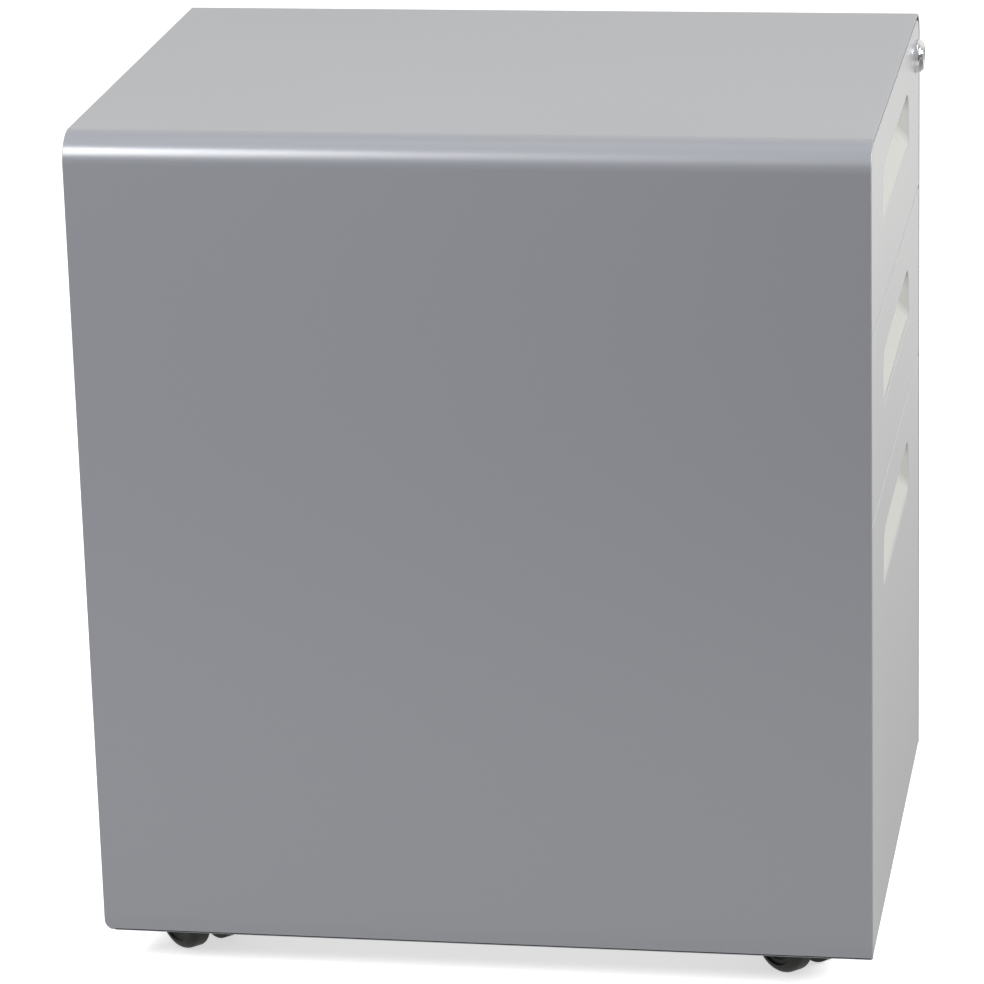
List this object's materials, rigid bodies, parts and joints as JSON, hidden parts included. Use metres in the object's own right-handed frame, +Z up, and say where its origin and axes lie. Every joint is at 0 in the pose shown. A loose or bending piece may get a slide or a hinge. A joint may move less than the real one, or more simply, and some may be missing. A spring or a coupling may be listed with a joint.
{
  "type": "mobile filing cabinet",
  "caption": "Low steel filing cabinet on swivelling casters, with shallow box drawers above a deep file drawer, recessed pulls and a lock bar.",
  "frame": {"origin": "on the floor under the middle of the cabinet", "axes": "+Z up, the drawer fronts face -Y, +X to the right seen from the front"},
  "size_m": [0.4, 0.5236, 0.576],
  "materials": {
    "case_paint": "smooth glossy silver-grey paint",
    "front_paint": "smooth glossy silver-grey paint",
    "inner_paint": "plain grey paint",
    "plated_steel": "bright zinc plating",
    "lock_chrome": "polished",
    "nylon": "smooth natural nylon",
    "caster_plastic": "satin black moulding",
    "wheel_plastic": "satin black moulding"
  },
  "bodies": {
    "case": {"case_wrap": "case_paint", "back_panel": "case_paint", "back_panel_rivets": "case_paint", "base_pan": "inner_paint", "top_rail": "inner_paint", "upright_front_right": "inner_paint", "upright_front_left": "inner_paint", "upright_rear_right": "inner_paint", "upright_rear_left": "inner_paint", "top_case_runners": "plated_steel", "middle_case_runners": "plated_steel", "file_case_runners": "plated_steel", "lock_bar_guides": "plated_steel", "caster_stems": "plated_steel", "caster_nuts": "plated_steel"},
    "top_drawer": {"top_drawer_front": "front_paint", "top_drawer_liner": "inner_paint", "top_drawer_box": "inner_paint", "top_drawer_runners": "plated_steel", "top_lock_catch": "plated_steel", "lock_barrel": "lock_chrome", "lock_nut": "plated_steel"},
    "top_case_rollers": {"top_case_rollers": "nylon"},
    "top_drawer_rollers": {"top_drawer_rollers": "nylon"},
    "middle_drawer": {"middle_drawer_front": "front_paint", "middle_drawer_liner": "inner_paint", "middle_drawer_box": "inner_paint", "middle_drawer_runners": "plated_steel", "middle_lock_catch": "plated_steel"},
    "middle_case_rollers": {"middle_case_rollers": "nylon"},
    "middle_drawer_rollers": {"middle_drawer_rollers": "nylon"},
    "file_drawer": {"file_drawer_front": "front_paint", "file_drawer_liner": "inner_paint", "file_drawer_box": "inner_paint", "file_drawer_runners": "plated_steel", "file_lock_catch": "plated_steel", "hanging_file_rails": "plated_steel"},
    "file_case_rollers": {"file_case_rollers": "nylon"},
    "file_drawer_rollers": {"file_drawer_rollers": "nylon"},
    "lock_plug": {"lock_plug": "lock_chrome", "lock_cam": "plated_steel"},
    "lock_bar": {"lock_bar": "plated_steel"},
    "caster_front_left": {"caster_front_left_hood": "caster_plastic", "caster_front_left_axle": "plated_steel"},
    "caster_front_left_wheel_a": {"caster_front_left_wheel_a": "wheel_plastic"},
    "caster_front_left_wheel_b": {"caster_front_left_wheel_b": "wheel_plastic"},
    "caster_front_right": {"caster_front_right_hood": "caster_plastic", "caster_front_right_axle": "plated_steel"},
    "caster_front_right_wheel_a": {"caster_front_right_wheel_a": "wheel_plastic"},
    "caster_front_right_wheel_b": {"caster_front_right_wheel_b": "wheel_plastic"},
    "caster_rear_left": {"caster_rear_left_hood": "caster_plastic", "caster_rear_left_axle": "plated_steel"},
    "caster_rear_left_wheel_a": {"caster_rear_left_wheel_a": "wheel_plastic"},
    "caster_rear_left_wheel_b": {"caster_rear_left_wheel_b": "wheel_plastic"},
    "caster_rear_right": {"caster_rear_right_hood": "caster_plastic", "caster_rear_right_axle": "plated_steel"},
    "caster_rear_right_wheel_a": {"caster_rear_right_wheel_a": "wheel_plastic"},
    "caster_rear_right_wheel_b": {"caster_rear_right_wheel_b": "wheel_plastic"}
  },
  "joints": [
    {"name": "top_drawer_slide", "type": "slide", "parent": "case", "child": "top_drawer", "axis": [0, -1, 0], "range_m": [0, 0.3417]},
    {"name": "top_case_roller_spin", "type": "hinge", "parent": "case", "child": "top_case_rollers", "pos_m": [0, -0.20595, 0.4675], "axis": [1, 0, 0], "continuous": true},
    {"name": "top_drawer_roller_spin", "type": "hinge", "parent": "top_drawer", "child": "top_drawer_rollers", "pos_m": [0, 0.21475, 0.4672], "axis": [1, 0, 0], "continuous": true},
    {"name": "middle_drawer_slide", "type": "slide", "parent": "case", "child": "middle_drawer", "axis": [0, -1, 0], "range_m": [0, 0.3417]},
    {"name": "middle_case_roller_spin", "type": "hinge", "parent": "case", "child": "middle_case_rollers", "pos_m": [0, -0.20595, 0.3435], "axis": [1, 0, 0], "continuous": true},
    {"name": "middle_drawer_roller_spin", "type": "hinge", "parent": "middle_drawer", "child": "middle_drawer_rollers", "pos_m": [0, 0.21475, 0.3432], "axis": [1, 0, 0], "continuous": true},
    {"name": "file_drawer_slide", "type": "slide", "parent": "case", "child": "file_drawer", "axis": [0, -1, 0], "range_m": [0, 0.3417]},
    {"name": "file_case_roller_spin", "type": "hinge", "parent": "case", "child": "file_case_rollers", "pos_m": [0, -0.20595, 0.0786], "axis": [1, 0, 0], "continuous": true},
    {"name": "file_drawer_roller_spin", "type": "hinge", "parent": "file_drawer", "child": "file_drawer_rollers", "pos_m": [0, 0.21475, 0.0783], "axis": [1, 0, 0], "continuous": true},
    {"name": "lock_turn", "type": "hinge", "parent": "top_drawer", "child": "lock_plug", "pos_m": [0.167, -0.25595, 0.5494], "axis": [0, -1, 0], "range_deg": [0, 90]},
    {"name": "lock_bar_lift", "type": "slide", "parent": "case", "child": "lock_bar", "axis": [0, 0, 1], "range_m": [0, 0.01131]},
    {"name": "caster_front_left_swivel", "type": "hinge", "parent": "case", "child": "caster_front_left", "pos_m": [-0.142, -0.19405, 0.059], "axis": [0, 0, 1], "continuous": true},
    {"name": "caster_front_left_wheel_a_roll", "type": "hinge", "parent": "caster_front_left", "child": "caster_front_left_wheel_a", "pos_m": [-0.15119, -0.20324, 0.025], "axis": [-0.7071, 0.7071, 0], "continuous": true},
    {"name": "caster_front_left_wheel_b_roll", "type": "hinge", "parent": "caster_front_left", "child": "caster_front_left_wheel_b", "pos_m": [-0.15119, -0.20324, 0.025], "axis": [-0.7071, 0.7071, 0], "continuous": true},
    {"name": "caster_front_right_swivel", "type": "hinge", "parent": "case", "child": "caster_front_right", "pos_m": [0.142, -0.19405, 0.059], "axis": [0, 0, 1], "continuous": true},
    {"name": "caster_front_right_wheel_a_roll", "type": "hinge", "parent": "caster_front_right", "child": "caster_front_right_wheel_a", "pos_m": [0.13281, -0.20324, 0.025], "axis": [-0.7071, 0.7071, 0], "continuous": true},
    {"name": "caster_front_right_wheel_b_roll", "type": "hinge", "parent": "caster_front_right", "child": "caster_front_right_wheel_b", "pos_m": [0.13281, -0.20324, 0.025], "axis": [-0.7071, 0.7071, 0], "continuous": true},
    {"name": "caster_rear_left_swivel", "type": "hinge", "parent": "case", "child": "caster_rear_left", "pos_m": [-0.142, 0.21475, 0.059], "axis": [0, 0, 1], "continuous": true},
    {"name": "caster_rear_left_wheel_a_roll", "type": "hinge", "parent": "caster_rear_left", "child": "caster_rear_left_wheel_a", "pos_m": [-0.15119, 0.20556, 0.025], "axis": [-0.7071, 0.7071, 0], "continuous": true},
    {"name": "caster_rear_left_wheel_b_roll", "type": "hinge", "parent": "caster_rear_left", "child": "caster_rear_left_wheel_b", "pos_m": [-0.15119, 0.20556, 0.025], "axis": [-0.7071, 0.7071, 0], "continuous": true},
    {"name": "caster_rear_right_swivel", "type": "hinge", "parent": "case", "child": "caster_rear_right", "pos_m": [0.142, 0.21475, 0.059], "axis": [0, 0, 1], "continuous": true},
    {"name": "caster_rear_right_wheel_a_roll", "type": "hinge", "parent": "caster_rear_right", "child": "caster_rear_right_wheel_a", "pos_m": [0.13281, 0.20556, 0.025], "axis": [-0.7071, 0.7071, 0], "continuous": true},
    {"name": "caster_rear_right_wheel_b_roll", "type": "hinge", "parent": "caster_rear_right", "child": "caster_rear_right_wheel_b", "pos_m": [0.13281, 0.20556, 0.025], "axis": [-0.7071, 0.7071, 0], "continuous": true}
  ],
  "couplings": [
    {"joint": "top_case_roller_spin", "follows": "top_drawer_slide", "rad_per_m": 142.86},
    {"joint": "top_drawer_roller_spin", "follows": "top_drawer_slide", "rad_per_m": 142.86},
    {"joint": "middle_case_roller_spin", "follows": "middle_drawer_slide", "rad_per_m": 142.86},
    {"joint": "middle_drawer_roller_spin", "follows": "middle_drawer_slide", "rad_per_m": 142.86},
    {"joint": "file_case_roller_spin", "follows": "file_drawer_slide", "rad_per_m": 142.86},
    {"joint": "file_drawer_roller_spin", "follows": "file_drawer_slide", "rad_per_m": 142.86},
    {"joint": "lock_bar_lift", "follows": "lock_turn", "m_per_rad": 0.0072025}
  ]
}
